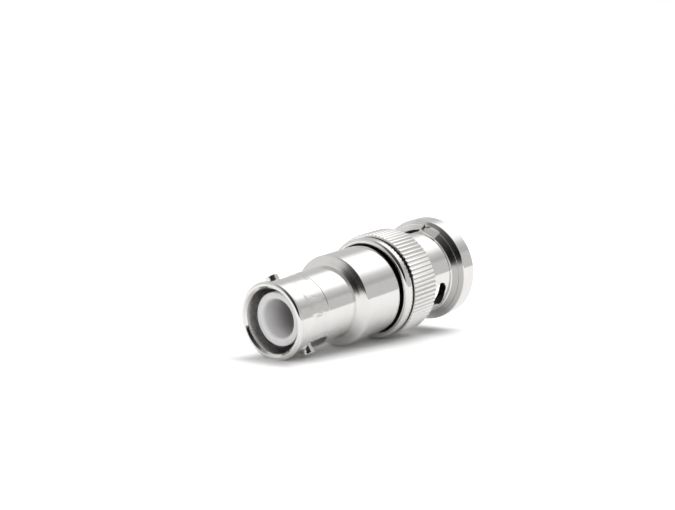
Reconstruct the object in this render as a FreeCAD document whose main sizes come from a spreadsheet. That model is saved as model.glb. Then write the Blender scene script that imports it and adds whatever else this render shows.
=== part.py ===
"""High-voltage jack to bayonet plug adapter, standing on the mating face of its coupling nut."""
import FreeCAD, Part
import os

import Sketcher
from FreeCAD import Vector

doc = FreeCAD.newDocument("adapter")

# Driving sizes in millimetres. Lengths run up from the plug's mating face, radii
# run out from the common axis, and the jack's lugs point along X.
SIZES = [
    ("flange_length", 2.47, "straight part of the nut's flange"),
    ("cone_length", 1.33, "cone above it"),
    ("slot_zone", 5.45, "slotted barrel, from the cone to the knurl"),
    ("knurl_length", 4.78, "length of the knurl"),
    ("polish_length", 0.82, "polished collar, from the knurl to where it turns in"),
    ("turn_in", 0.65, "height over which it turns in to the lip"),
    ("lip_depth", 0.38, "how far the rear lip stands over the nut's stop face"),
    ("nut_web", 0.70, "thickness of the nut's inner web"),
    ("neck_length", 3.59, "neck of the shell, inside the nut"),
    ("collar_length", 0.86, "stop collar of the shell"),
    ("body_length", 6.85, "large cylinder of the shell"),
    ("shoulder_length", 0.65, "conical shoulder"),
    ("barrel_length", 11.20, "jack barrel, from the shoulder to the rim"),
    ("land_length", 2.50, "full land behind the rim"),
    ("band_length", 3.20, "milled band behind that land"),
    ("lug_drop", 3.65, "rim to the lug's centre"),
    ("pocket_rest", 0.60, "how far a pocket runs on below the milled band"),
    ("jack_bore_depth", 9.30, "depth of the ring space for the mating plug"),
    ("seat_rise", 3.00, "seat of the jack's insulator above the stop collar"),
    ("neck_drop", 0.75, "how far the neck that carries the nut lies below the barrel"),
    ("neck_wall", 0.80, "wall of that neck"),
    ("stop_width", 1.40, "how far the stop collar stands out from the neck"),
    ("barrel_radius", 4.85, "jack barrel"),
    ("barrel_wall", 0.65, "wall of that barrel"),
    ("shoulder_width", 1.22, "how far the large cylinder stands out from the barrel"),
    ("ring_space", 0.70, "room between the barrel's bore and its insulator's seat"),
    ("lug_radius", 0.86, "bayonet lug"),
    ("lug_stand", 0.65, "how far a lug stands out from the barrel"),
    ("pocket_depth", 0.48, "depth of the pocket beside each lug, at its middle"),
    ("pocket_width", 4.30, "width of that pocket"),
    ("pocket_corner", 0.90, "corner radius of that pocket"),
    ("fit_gap", 0.02, "clearance between seated faces"),
    ("slide_gap", 0.04, "clearance between seated cylinders"),
    ("insulator_recess", 1.34, "rim to the mouth of the jack's insulator"),
    ("nose_wall", 0.96, "wall of that insulator at its mouth"),
    ("nose_depth", 6.56, "depth of its mouth"),
    ("deep_ledge", 0.20, "ledge where the mouth steps down"),
    ("deep_length", 4.80, "bore below that ledge"),
    ("pin_recess", 0.60, "ledge down to the tip of the recessed pin"),
    ("pin_tip_bevel", 0.30, "bevel of that tip"),
    ("pin_foot", 0.35, "thick foot of the pin above the bore's floor"),
    ("jack_pin_radius", 0.80, "recessed pin"),
    ("stem_radius", 1.05, "contact stems inside the insulators"),
    ("flange_radius", 1.60, "flanges that hold the contacts in place"),
    ("flange_thickness", 1.00, "each contact flange"),
    ("stud_radius", 0.45, "stud that joins the contacts"),
    ("stud_length", 2.60, "its length"),
    ("stud_gap", 0.05, "its clearance"),
    ("sleeve_reach", 5.90, "spring fingers, from the neck down"),
    ("sleeve_inset", 0.12, "how far the fingers lie inside the neck's outline"),
    ("finger_wall", 0.48, "wall of a finger"),
    ("slit_length", 4.55, "length of the slits between fingers"),
    ("slit_width", 0.45, "width of a slit"),
    ("slit_count", 4, "number of slits"),
    ("sleeve_web", 0.55, "web of the sleeve under the neck"),
    ("tail_length", 2.45, "tail of the sleeve inside the neck"),
    ("tail_wall", 0.48, "wall of that tail"),
    ("tube_reach", 5.25, "neck down to the mouth of the plug's insulator"),
    ("tube_wall", 1.05, "wall of that insulator with its clearance"),
    ("tube_depth", 4.10, "depth of its bore"),
    ("plug_pin_reach", 5.95, "neck down to the tip of the plug's pin"),
    ("plug_pin_radius", 0.675, "plug's centre pin"),
    ("pin_step", 0.05, "floor of that bore up to the thick part of the pin"),
    ("gasket_height", 0.58, "gasket under the neck's face"),
    ("groove_rise", 0.43, "neck's face up to the retaining ring's groove"),
    ("groove_width", 0.54, "width of that groove"),
    ("groove_depth", 0.36, "depth of that groove"),
    ("ring_stand", 0.64, "how far the retaining ring stands out from the neck"),
    ("ring_opening", 36.0, "degrees open in the retaining ring"),
    ("washer_thickness", 0.28, "flat washers"),
    ("spring_thickness", 0.20, "sheet of the spring washers"),
    ("spring_rise", 0.42, "bow of each spring washer"),
    ("spring_room", 0.80, "neck out to the nut's bore"),
    ("washer_gap", 0.09, "clearance outside the washers"),
    ("neck_clearance", 0.06, "clearance between the nut's web and the neck"),
    ("nut_wall", 1.04, "wall of the nut's slotted barrel"),
    ("flange_height", 1.31, "how far flange and knurl stand out from that barrel"),
    ("knurl_depth", 0.24, "depth of the knurl's grooves"),
    ("knurl_groove", 0.40, "width of a groove at the surface"),
    ("knurl_count", 72, "number of grooves"),
    ("polish_drop", 0.35, "knurl's surface down to the polished collar"),
    ("lip_drop", 0.97, "knurl's surface down to the lip's inner edge"),
    ("lip_width", 0.10, "flat of the rear lip"),
    ("channel_depth", 0.75, "nut's bore out to the floor of an entry channel"),
    ("channel_width", 2.35, "width of an entry channel"),
    ("cam_rest", 0.40, "cone's end up to the slot's centre where a lug comes in"),
    ("cam_width", 2.35, "width of a cam slot"),
    ("cam_rise", 2.00, "climb of the slot to its detent"),
    ("cam_turn", 105.0, "degrees from the slot's end to its detent"),
    ("cam_azimuth", -63.0, "direction of the slot's end, from the lugs"),
    ("detent_radius", 1.25, "round hole that holds a lug"),
]

# Levels and radii that follow from those sizes, each piece from what it sits on.
LEVELS = [
    ("cone_end", "flange_length + cone_length"),
    ("knurl_start", "cone_end + slot_zone"),
    ("knurl_end", "knurl_start + knurl_length"),
    ("polish_end", "knurl_end + polish_length"),
    ("lip_height", "polish_end + turn_in"),
    ("nut_stop", "lip_height - lip_depth"),
    ("web_face", "nut_stop - nut_web"),
    ("cam_start", "cone_end + cam_rest"),
    ("detent_height", "cam_start + cam_rise"),
    ("collar_end", "nut_stop + fit_gap"),
    ("neck_end", "collar_end - neck_length"),
    ("body_end", "collar_end + collar_length"),
    ("shoulder_edge", "body_end + body_length"),
    ("shoulder_foot", "shoulder_edge + shoulder_length"),
    ("rim_height", "shoulder_foot + barrel_length"),
    ("land_foot", "rim_height - land_length"),
    ("band_foot", "land_foot - band_length"),
    ("pocket_end", "band_foot - pocket_rest"),
    ("lug_height", "rim_height - lug_drop"),
    ("jack_bore_floor", "rim_height - jack_bore_depth"),
    ("seat_floor", "body_end + seat_rise"),
    ("insulator_face", "rim_height - insulator_recess"),
    ("nose_step", "insulator_face - nose_depth"),
    ("deep_floor", "nose_step - deep_length"),
    ("jack_pin_tip", "nose_step - pin_recess"),
    ("jack_pin_root", "deep_floor + pin_foot"),
    ("flange_join", "seat_floor - flange_thickness"),
    ("flange_floor", "flange_join - flange_thickness"),
    ("sleeve_top", "neck_end - fit_gap"),
    ("sleeve_tip", "neck_end - sleeve_reach"),
    ("slit_end", "sleeve_tip + slit_length"),
    ("sleeve_step", "neck_end - sleeve_web"),
    ("tail_end", "neck_end + tail_length"),
    ("middle_floor", "tail_end + fit_gap + fit_gap"),
    ("tube_face", "neck_end - tube_reach"),
    ("tube_floor", "tube_face + tube_depth"),
    ("plug_pin_tip", "neck_end - plug_pin_reach"),
    ("plug_pin_root", "tube_floor + pin_step"),
    ("gasket_face", "sleeve_top - gasket_height"),
    ("groove_low", "neck_end + groove_rise"),
    ("groove_top", "groove_low + groove_width"),
    ("stop_low", "groove_top + fit_gap"),
    ("stop_high", "stop_low + washer_thickness"),
    ("push_high", "web_face - fit_gap"),
    ("push_low", "push_high - washer_thickness"),
    ("neck_radius", "barrel_radius - neck_drop"),
    ("core_radius", "neck_radius - neck_wall"),
    ("collar_radius", "neck_radius + stop_width"),
    ("body_radius", "barrel_radius + shoulder_width"),
    ("jack_bore_radius", "barrel_radius - barrel_wall"),
    ("seat_radius", "jack_bore_radius - ring_space"),
    ("pocket_floor", "barrel_radius - pocket_depth"),
    ("lug_reach", "barrel_radius + lug_stand"),
    ("insulator_radius", "seat_radius - slide_gap"),
    ("nose_radius", "insulator_radius - nose_wall"),
    ("deep_radius", "nose_radius - deep_ledge"),
    ("stem_hole", "stem_radius + slide_gap"),
    ("sleeve_radius", "neck_radius - sleeve_inset"),
    ("sleeve_bore", "sleeve_radius - finger_wall"),
    ("tail_radius", "core_radius - fit_gap"),
    ("tail_bore", "tail_radius - tail_wall"),
    ("tube_bore", "sleeve_bore - tube_wall"),
    ("nut_bore", "neck_radius + spring_room"),
    ("nut_neck_bore", "neck_radius + neck_clearance"),
    ("washer_radius", "nut_bore - washer_gap"),
    ("washer_bore", "neck_radius + slide_gap + slide_gap"),
    ("groove_floor", "neck_radius - groove_depth"),
    ("nut_barrel_radius", "nut_bore + nut_wall"),
    ("rim_radius", "nut_barrel_radius + flange_height"),
    ("polish_radius", "rim_radius - polish_drop"),
    ("lip_radius", "rim_radius - lip_drop"),
    ("channel_reach", "nut_bore + channel_depth"),
]

sheet = doc.addObject("Spreadsheet::Sheet", "Sheet")
for row, (alias, value, note) in enumerate(SIZES, start=1):
    sheet.set("A%d" % row, note)
    sheet.set("B%d" % row, repr(value))
    sheet.setAlias("B%d" % row, alias)
doc.recompute()
levels = doc.addObject("App::VarSet", "Levels")
VALUES = {alias: float(value) for alias, value, _ in SIZES}
DRIVING = set(VALUES)


def number(text):
    """Present value of a sum of named values, such as "rim_height - rim_bevel"."""
    total = 0.0
    sign = 1.0
    for token in text.split():
        if token in ("+", "-"):
            sign = 1.0 if token == "+" else -1.0
            continue
        top, _, bottom = token.partition("/")
        amount = VALUES[top] if top in VALUES else float(top)
        total += sign * amount / (float(bottom) if bottom else 1.0)
    return total


def bound(text):
    """The same sum written with the names that the document knows."""
    words = []
    for token in text.split():
        top = token.partition("/")[0]
        if top in DRIVING:
            token = "Sheet." + token
        elif top in VALUES:
            token = "Levels." + token
        words.append(token)
    return " ".join(words)


for name, text in LEVELS:
    VALUES[name] = number(text)
    levels.addProperty("App::PropertyFloat", name, "Derived")
    setattr(levels, name, VALUES[name])
    levels.setExpression(name, bound(text))
doc.recompute()


def tie(item, place, text):
    """Binds one property of an object to named values."""
    item.setExpression(place, bound(text))


def plane(body, role):
    """One of a body's own origin planes."""
    for feature in body.Origin.OriginFeatures:
        if feature.Role == role:
            return feature
    raise ValueError(role)


def new_body(label):
    body = doc.addObject("PartDesign::Body", label)
    body.Label = label
    body.Placement = FreeCAD.Placement()
    return body


def new_sketch(body, name, role, lift=None):
    """A sketch on an origin plane, or parallel to it at a named distance."""
    sketch = body.newObject("Sketcher::SketchObject", name)
    sketch.AttachmentSupport = [(plane(body, role), "")]
    sketch.MapMode = "FlatFace"
    if lift:
        tie(sketch, ".AttachmentOffset.Base.z", lift)
    return sketch


def swing(sketch, axis, text):
    """Turns an attached sketch about one of its plane's axes by a bound angle."""
    turn = Vector(0, 1, 0) if axis == "Y" else Vector(0, 0, 1)
    lift = sketch.AttachmentOffset.Base
    sketch.AttachmentOffset = FreeCAD.Placement(lift, FreeCAD.Rotation(turn, 10))
    sketch.setExpression(".AttachmentOffset.Rotation.Angle", text)


def fix_point(sketch, line, end, across, up):
    """Sets one corner's two coordinates from the sheet."""
    for kind, text, axis in (("DistanceX", across, -2), ("DistanceY", up, -1)):
        value = number(text)
        if abs(value) < 1e-9:
            sketch.addConstraint(Sketcher.Constraint("PointOnObject", line, end, axis))
        elif value > 0:
            index = sketch.addConstraint(
                Sketcher.Constraint(kind, -1, 1, line, end, value)
            )
            tie(sketch, "Constraints[%d]" % index, text)
        else:
            index = sketch.addConstraint(
                Sketcher.Constraint(kind, line, end, -1, 1, -value)
            )
            sketch.setExpression("Constraints[%d]" % index, "-(" + bound(text) + ")")


def outline(sketch, corners):
    """A closed outline through corners given as pairs of sums."""
    points = [Vector(number(across), number(up), 0) for across, up in corners]
    count = len(points)
    lines = []
    for index in range(count):
        edge = Part.LineSegment(points[index], points[(index + 1) % count])
        lines.append(sketch.addGeometry(edge, False))
    for index in range(count):
        following = lines[(index + 1) % count]
        sketch.addConstraint(
            Sketcher.Constraint("Coincident", lines[index], 2, following, 1)
        )
    for index, (across, up) in enumerate(corners):
        fix_point(sketch, lines[index], 1, across, up)
    return lines


def circle(sketch, up, radius):
    """A circle on the sketch's upright axis, its height and radius bound."""
    centre = Vector(0, number(up), 0)
    hole = sketch.addGeometry(Part.Circle(centre, Vector(0, 0, 1), number(radius)), False)
    sketch.addConstraint(Sketcher.Constraint("PointOnObject", hole, 3, -2))
    height = sketch.addConstraint(
        Sketcher.Constraint("DistanceY", -1, 1, hole, 3, number(up))
    )
    tie(sketch, "Constraints[%d]" % height, up)
    reach = sketch.addConstraint(Sketcher.Constraint("Radius", hole, number(radius)))
    tie(sketch, "Constraints[%d]" % reach, radius)


def turned(body, name, corners, degrees="360"):
    """Turns a closed half section, radius against height, about the axis."""
    sketch = new_sketch(body, name + "Section", "XZ_Plane")
    outline(sketch, corners)
    spin = body.newObject("PartDesign::Revolution", name)
    spin.Profile = sketch
    spin.ReferenceAxis = (sketch, ["V_Axis"])
    if degrees == "360":
        spin.Angle = 360.0
    else:
        tie(spin, "Angle", degrees)
        spin.Midplane = True
    doc.recompute()
    return spin


def tube(name, outer, inner, low, high):
    """A plain tube between two heights, as a cut of two cylinders."""
    parts = []
    for suffix, radius, extra in (("Outer", outer, 0), ("Inner", inner, 1)):
        item = doc.addObject("Part::Cylinder", name + suffix)
        tie(item, "Radius", radius)
        if extra:
            item.setExpression("Height", bound(high) + " - (" + bound(low) + ") + 2")
            item.setExpression(".Placement.Base.z", bound(low) + " - 1")
        else:
            item.setExpression("Height", bound(high) + " - (" + bound(low) + ")")
            tie(item, ".Placement.Base.z", low)
        parts.append(item)
    ring = doc.addObject("Part::Cut", name)
    ring.Base, ring.Tool = parts
    doc.recompute()
    return ring


def near(shape, test):
    """Names of the edges that a test on their middle point and shape accepts."""
    names = []
    for index, edge in enumerate(shape.Edges, start=1):
        if test(edge):
            names.append("Edge%d" % index)
    return names


def dress(body, kind, name, base, edges, size):
    """A fillet or a chamfer on named edges of the body's last feature."""
    if not edges:
        raise RuntimeError(name + " found no edge")
    feature = body.newObject("PartDesign::" + kind, name)
    feature.Base = (base, edges)
    tie(feature, "Radius" if kind == "Fillet" else "Size", size)
    doc.recompute()
    return feature


def pattern(body, name, originals, degrees, count):
    """Repeats cuts or pads around the vertical axis."""
    ring = body.newObject("PartDesign::PolarPattern", name)
    ring.Originals = originals
    ring.Axis = (plane(body, "Z_Axis"), [""])
    ring.Angle = degrees
    if count in VALUES:
        tie(ring, "Occurrences", count)
    else:
        ring.Occurrences = int(count)
    body.Tip = ring
    doc.recompute()
    return ring


# The jack's shell: one turned brass bar from the rim down to the neck.
shell_bar = new_body("ShellBar")
turned(
    shell_bar,
    "ShellTurning",
    [
        ("jack_bore_radius", "jack_bore_floor"),
        ("jack_bore_radius", "rim_height"),
        ("barrel_radius", "rim_height"),
        ("barrel_radius", "shoulder_foot"),
        ("body_radius", "shoulder_edge"),
        ("body_radius", "body_end"),
        ("collar_radius", "body_end"),
        ("collar_radius", "collar_end"),
        ("neck_radius", "collar_end"),
        ("neck_radius", "groove_top"),
        ("groove_floor", "groove_top"),
        ("groove_floor", "groove_low"),
        ("neck_radius", "groove_low"),
        ("neck_radius", "neck_end"),
        ("core_radius", "neck_end"),
        ("core_radius", "seat_floor"),
        ("seat_radius", "seat_floor"),
        ("seat_radius", "jack_bore_floor"),
    ],
)

# Beside each lug a mill has left a shallow pocket with a flat floor and two rounded
# corners. The cutter starts on that floor and runs out past the barrel.
pocket_body = new_body("PocketCutter")
window = new_sketch(pocket_body, "PocketOutline", "YZ_Plane", "pocket_floor")
outline(
    window,
    [
        ("0 - pocket_width/2", "pocket_end"),
        ("pocket_width/2", "pocket_end"),
        ("pocket_width/2", "land_foot"),
        ("0 - pocket_width/2", "land_foot"),
    ],
)
window_pad = pocket_body.newObject("PartDesign::Pad", "PocketPad")
window_pad.Profile = window
tie(window_pad, "Length", "pocket_depth + lug_stand")
doc.recompute()
corners = near(
    window_pad.Shape,
    lambda edge: (
        edge.BoundBox.XLength > number("pocket_depth")
        and abs(edge.BoundBox.Center.z - number("pocket_end")) < 1e-4
    ),
)
dress(pocket_body, "Fillet", "PocketCorners", window_pad, corners, "pocket_corner")
pocket_copy = doc.addObject("Part::Mirroring", "OppositePocket")
pocket_copy.Source = pocket_body
pocket_copy.Normal = Vector(1, 0, 0)
pockets = doc.addObject("Part::MultiFuse", "LugPockets")
pockets.Shapes = [pocket_body, pocket_copy]
milled = doc.addObject("Part::Cut", "MilledBar")
milled.Base = shell_bar
milled.Tool = pockets
doc.recompute()

lug_body = new_body("Lugs")
lug_sketch = new_sketch(lug_body, "LugCircle", "YZ_Plane", "jack_bore_radius + barrel_wall/4")
circle(lug_sketch, "lug_height", "lug_radius")
lug_pad = lug_body.newObject("PartDesign::Pad", "LugPad")
lug_pad.Profile = lug_sketch
tie(lug_pad, "Length", "lug_reach - jack_bore_radius - barrel_wall/4")
doc.recompute()
lug_copy = doc.addObject("Part::Mirroring", "OppositeLug")
lug_copy.Source = lug_body
lug_copy.Normal = Vector(1, 0, 0)
shell = doc.addObject("Part::MultiFuse", "JackShell")
shell.Label = "shv_jack_shell"
shell.Shapes = [milled, lug_body, lug_copy]
shell.Refine = False
doc.recompute()

# Insulators, turned from rod. The jack's tube stands free in the ring space.
jack_insulator = new_body("shv_insulator")
turned(
    jack_insulator,
    "JackInsulator",
    [
        ("stem_hole", "seat_floor + fit_gap"),
        ("insulator_radius", "seat_floor + fit_gap"),
        ("insulator_radius", "insulator_face"),
        ("nose_radius", "insulator_face"),
        ("nose_radius", "nose_step"),
        ("deep_radius", "nose_step"),
        ("deep_radius", "deep_floor"),
        ("stem_hole", "deep_floor"),
    ],
)

middle = new_body("middle_insulator")
turned(
    middle,
    "MiddleInsulator",
    [
        ("stem_hole", "middle_floor"),
        ("core_radius - slide_gap", "middle_floor"),
        ("core_radius - slide_gap", "seat_floor - fit_gap"),
        ("flange_radius + slide_gap", "seat_floor - fit_gap"),
        ("flange_radius + slide_gap", "flange_floor - fit_gap"),
        ("stem_hole", "flange_floor - fit_gap"),
    ],
)

plug_insulator = new_body("bnc_insulator")
turned(
    plug_insulator,
    "PlugInsulator",
    [
        ("stem_hole", "tube_floor"),
        ("tube_bore", "tube_floor"),
        ("tube_bore", "tube_face"),
        ("sleeve_bore - slide_gap", "tube_face"),
        ("sleeve_bore - slide_gap", "sleeve_step - fit_gap"),
        ("tail_bore - slide_gap", "sleeve_step - fit_gap"),
        ("tail_bore - slide_gap", "tail_end"),
        ("stem_hole", "tail_end"),
    ],
)

# The two halves of the centre conductor screw together between the insulators.
jack_pin = new_body("shv_contact_pin")
turned(
    jack_pin,
    "JackPin",
    [
        ("0", "flange_join + fit_gap/2 - stud_length"),
        ("stud_radius", "flange_join + fit_gap/2 - stud_length"),
        ("stud_radius", "flange_join + fit_gap/2"),
        ("flange_radius", "flange_join + fit_gap/2"),
        ("flange_radius", "seat_floor"),
        ("stem_radius", "seat_floor"),
        ("stem_radius", "jack_pin_root"),
        ("jack_pin_radius", "jack_pin_root"),
        ("jack_pin_radius", "jack_pin_tip - pin_tip_bevel"),
        ("jack_pin_radius - pin_tip_bevel", "jack_pin_tip"),
        ("0", "jack_pin_tip"),
    ],
)

plug_pin = new_body("bnc_centre_pin")
turned(
    plug_pin,
    "PlugPin",
    [
        ("0", "plug_pin_tip"),
        ("plug_pin_radius/2", "plug_pin_tip"),
        ("plug_pin_radius", "plug_pin_tip + plug_pin_radius"),
        ("plug_pin_radius", "plug_pin_root"),
        ("stem_radius", "plug_pin_root"),
        ("stem_radius", "flange_floor"),
        ("flange_radius", "flange_floor"),
        ("flange_radius", "flange_join - fit_gap/2"),
        ("stud_radius + stud_gap", "flange_join - fit_gap/2"),
        ("stud_radius + stud_gap", "flange_join - stud_length - stud_gap"),
        ("0", "flange_join - stud_length - stud_gap"),
    ],
)

# The plug's outer contact: a turned sleeve slit into spring fingers.
sleeve = new_body("bnc_contact_sleeve")
turned(
    sleeve,
    "SleeveTurning",
    [
        ("sleeve_bore", "sleeve_tip"),
        ("sleeve_radius", "sleeve_tip"),
        ("sleeve_radius", "sleeve_top"),
        ("tail_radius", "sleeve_top"),
        ("tail_radius", "tail_end"),
        ("tail_bore", "tail_end"),
        ("tail_bore", "sleeve_step"),
        ("sleeve_bore", "sleeve_step"),
    ],
)
slit = new_sketch(sleeve, "SlitOutline", "YZ_Plane")
outline(
    slit,
    [
        ("0 - slit_width/2", "sleeve_tip - slit_width"),
        ("slit_width/2", "sleeve_tip - slit_width"),
        ("slit_width/2", "slit_end"),
        ("0 - slit_width/2", "slit_end"),
    ],
)
slit_cut = sleeve.newObject("PartDesign::Pocket", "Slit")
slit_cut.Profile = slit
slit_cut.Reversed = True
tie(slit_cut, "Length", "sleeve_radius + finger_wall")
doc.recompute()
pattern(sleeve, "Slits", [slit_cut], 360.0, "slit_count")


# Rings on the neck, from the mating side: gasket, split ring, washer, springs, washer.
def ring(label, inner, outer, low, high, degrees="360"):
    """A flat ring of its own body, whole or split."""
    body = new_body(label)
    corners = [(inner, low), (outer, low), (outer, high), (inner, high)]
    turned(body, "Turned_" + label, corners, degrees)
    return body


gasket = ring(
    "sealing_gasket", "sleeve_radius + slide_gap", "washer_radius", "gasket_face", "sleeve_top"
)
split_ring = ring(
    "retaining_ring",
    "groove_floor + slide_gap",
    "neck_radius + ring_stand",
    "groove_low + fit_gap",
    "groove_top - fit_gap",
    "360 - ring_opening",
)
stop_washer = ring(
    "stop_washer", "neck_radius + slide_gap", "washer_radius", "stop_low", "stop_high"
)
push_washer = ring("pressure_washer", "washer_bore", "washer_radius", "push_low", "push_high")


def spring_washer(label, edge, side):
    """A ring of bowed sheet. Its edge rests at a height and it bows up or down from there."""
    flat = tube(label + "Ring", "washer_radius", "washer_bore", "neck_end", "collar_end")
    bend = "(Levels.washer_radius ^ 2 + Sheet.spring_rise ^ 2) / (2 * Sheet.spring_rise)"
    rolls = []
    for name, extra in (("Back", " + Sheet.spring_thickness"), ("Front", "")):
        roll = doc.addObject("Part::Cylinder", label + name)
        roll.Placement = FreeCAD.Placement(
            Vector(0, 0, 0), FreeCAD.Rotation(Vector(0, 1, 0), 90)
        )
        roll.setExpression("Radius", bend + extra)
        roll.setExpression("Height", "Levels.washer_radius * 4")
        roll.setExpression(".Placement.Base.x", "-Levels.washer_radius * 2")
        if side > 0:
            centre = bound(edge) + " + Sheet.spring_rise - " + bend
        else:
            centre = bound(edge) + " - Sheet.spring_rise + " + bend
        roll.setExpression(".Placement.Base.z", centre)
        rolls.append(roll)
    curved = doc.addObject("Part::Cut", label + "Sheet")
    curved.Base, curved.Tool = rolls
    washer = doc.addObject("Part::Common", label)
    washer.Base = flat
    washer.Tool = curved
    washer.Label = label
    doc.recompute()
    return washer


front_spring = spring_washer("spring_washer_front", "stop_high + fit_gap", 1)
rear_spring = spring_washer("spring_washer_rear", "push_low - fit_gap", -1)

# The coupling nut: turned flange, cone, barrel, knurl and polished collar.
nut = new_body("coupling_nut")
turned(
    nut,
    "NutTurning",
    [
        ("nut_bore", "0"),
        ("rim_radius", "0"),
        ("rim_radius", "flange_length"),
        ("nut_barrel_radius", "cone_end"),
        ("nut_barrel_radius", "knurl_start"),
        ("rim_radius", "knurl_start"),
        ("rim_radius", "knurl_end"),
        ("polish_radius", "knurl_end"),
        ("polish_radius", "polish_end"),
        ("lip_radius + lip_width", "lip_height"),
        ("lip_radius", "lip_height"),
        ("lip_radius", "nut_stop"),
        ("nut_neck_bore", "nut_stop"),
        ("nut_neck_bore", "web_face"),
        ("nut_bore", "web_face"),
    ],
)

# Each entry channel lets a lug in past the flange and ends where its cam slot does.
channel = new_sketch(nut, "ChannelOutline", "XY_Plane")
swing(
    channel,
    "Z",
    "Sheet.cam_azimuth * 1 deg + asin(Sheet.channel_width / 2 / Levels.nut_barrel_radius)",
)
outline(
    channel,
    [
        ("nut_bore - nut_wall/2", "0 - channel_width/2"),
        ("channel_reach", "0 - channel_width/2"),
        ("channel_reach", "channel_width/2"),
        ("nut_bore - nut_wall/2", "channel_width/2"),
    ],
)
channel_cut = nut.newObject("PartDesign::Pocket", "EntryChannel")
channel_cut.Profile = channel
channel_cut.Reversed = True
tie(channel_cut, "Length", "cam_start")
doc.recompute()

# The cam slot is milled through the barrel wall while the nut turns under the cutter.
cam = new_sketch(nut, "CamSection", "XZ_Plane")
swing(cam, "Y", "Sheet.cam_azimuth * 1 deg")
outline(
    cam,
    [
        ("nut_bore - nut_wall/2", "cam_start - cam_width/2"),
        ("rim_radius + nut_wall/2", "cam_start - cam_width/2"),
        ("rim_radius + nut_wall/2", "cam_start + cam_width/2"),
        ("nut_bore - nut_wall/2", "cam_start + cam_width/2"),
    ],
)
cam_cut = nut.newObject("PartDesign::SubtractiveHelix", "CamSlot")
cam_cut.Profile = cam
cam_cut.ReferenceAxis = (plane(nut, "Z_Axis"), [""])
cam_cut.Mode = 2
cam_cut.setExpression("Height", "Sheet.cam_rise")
cam_cut.setExpression("Turns", "Sheet.cam_turn / 360")
cam_cut.Angle = 0.0
cam_cut.LeftHanded = False
cam_cut.Reversed = False
doc.recompute()

detent = new_sketch(nut, "DetentCircle", "YZ_Plane")
swing(detent, "Y", "(Sheet.cam_azimuth + Sheet.cam_turn) * 1 deg")
circle(detent, "detent_height", "detent_radius")
detent_cut = nut.newObject("PartDesign::Pocket", "Detent")
detent_cut.Profile = detent
detent_cut.Reversed = True
tie(detent_cut, "Length", "rim_radius + nut_wall/2")
doc.recompute()
pattern(nut, "BothSides", [channel_cut, cam_cut, detent_cut], 360.0, "2")

# Straight knurl: one V groove, repeated all round.
tooth = new_sketch(nut, "KnurlGroove", "XY_Plane", "knurl_end")
outline(
    tooth,
    [
        ("rim_radius - knurl_depth", "0"),
        ("rim_radius + knurl_depth", "0 - knurl_groove"),
        ("rim_radius + knurl_depth", "knurl_groove"),
    ],
)
tooth_cut = nut.newObject("PartDesign::Pocket", "Groove")
tooth_cut.Profile = tooth
tie(tooth_cut, "Length", "knurl_length")
doc.recompute()
pattern(nut, "Knurl", [tooth_cut], 360.0, "knurl_count")

# The cam's curved walls meet the detent at a shallow angle, so seams are kept there.
for feature in nut.Group:
    if hasattr(feature, "Refine"):
        feature.Refine = False

doc.recompute()
for item in doc.Objects:
    if "Invalid" in item.State or "Error" in item.State:
        raise RuntimeError("%s is %s" % (item.Name, item.State))

PIECES = [
    shell,
    jack_insulator,
    jack_pin,
    middle,
    plug_pin,
    plug_insulator,
    sleeve,
    gasket,
    split_ring,
    stop_washer,
    front_spring,
    rear_spring,
    push_washer,
    nut,
]
for piece in PIECES:
    shape = piece.Shape
    if shape.isNull() or not shape.isValid() or shape.Volume <= 0:
        raise RuntimeError(piece.Label + " has no sound solid")

os.makedirs("parts", exist_ok=True)
for piece in PIECES:
    piece.Shape.exportStep("parts/%s.step" % piece.Label)
    box = piece.Shape.BoundBox
    print(
        "%-22s volume %9.3f  x %.2f..%.2f  y %.2f..%.2f  z %.3f..%.3f  solids %d"
        % (
            piece.Label,
            piece.Shape.Volume,
            box.XMin,
            box.XMax,
            box.YMin,
            box.YMax,
            box.ZMin,
            box.ZMax,
            len(piece.Shape.Solids),
        )
    )
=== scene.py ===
# %% [markdown]
# # A coaxial adapter, dressed for its photograph
# The real part is a turned metal body with a white insulator at one end and a
# knurled nut at the other. The engineering model is loaded first, so every new
# piece can be set against it.

# %% Load the model
import bpy
import bmesh
import math
from mathutils import Matrix, Vector


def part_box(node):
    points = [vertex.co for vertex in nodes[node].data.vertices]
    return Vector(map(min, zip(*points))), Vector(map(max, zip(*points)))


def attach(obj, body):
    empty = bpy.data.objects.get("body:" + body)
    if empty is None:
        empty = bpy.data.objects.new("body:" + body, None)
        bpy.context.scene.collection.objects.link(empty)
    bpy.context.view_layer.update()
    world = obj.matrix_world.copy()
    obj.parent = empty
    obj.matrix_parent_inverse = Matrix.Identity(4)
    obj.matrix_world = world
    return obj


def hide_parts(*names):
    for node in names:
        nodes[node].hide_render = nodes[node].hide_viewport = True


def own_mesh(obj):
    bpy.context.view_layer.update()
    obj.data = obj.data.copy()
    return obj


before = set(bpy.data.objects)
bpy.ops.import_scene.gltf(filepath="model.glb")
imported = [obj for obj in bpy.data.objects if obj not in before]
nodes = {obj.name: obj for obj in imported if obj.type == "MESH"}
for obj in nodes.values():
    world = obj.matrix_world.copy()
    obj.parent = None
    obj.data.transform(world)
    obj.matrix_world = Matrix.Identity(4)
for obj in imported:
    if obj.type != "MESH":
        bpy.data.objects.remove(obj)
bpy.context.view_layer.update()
print("pieces in the model:", sorted(nodes))

# %% [markdown]
# ## Sizes
# The new pieces have to sit where the model's pieces sit, or they would not fit each
# other. Copying all their numbers would work too, but it would break when the model
# changes. So the outer sizes are read from the model, in millimetres, and only the
# steps between them are written here. Shapes and finishes use the same names, which
# keeps the painted shade of a groove in its groove.

# %% Sizes
MM = 0.001


def extent(node):
    """A node's foot, top and radius, in millimetres."""
    low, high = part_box(node)
    return round(low[2] / MM, 3), round(high[2] / MM, 3), round(high[0] / MM, 3)


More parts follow.
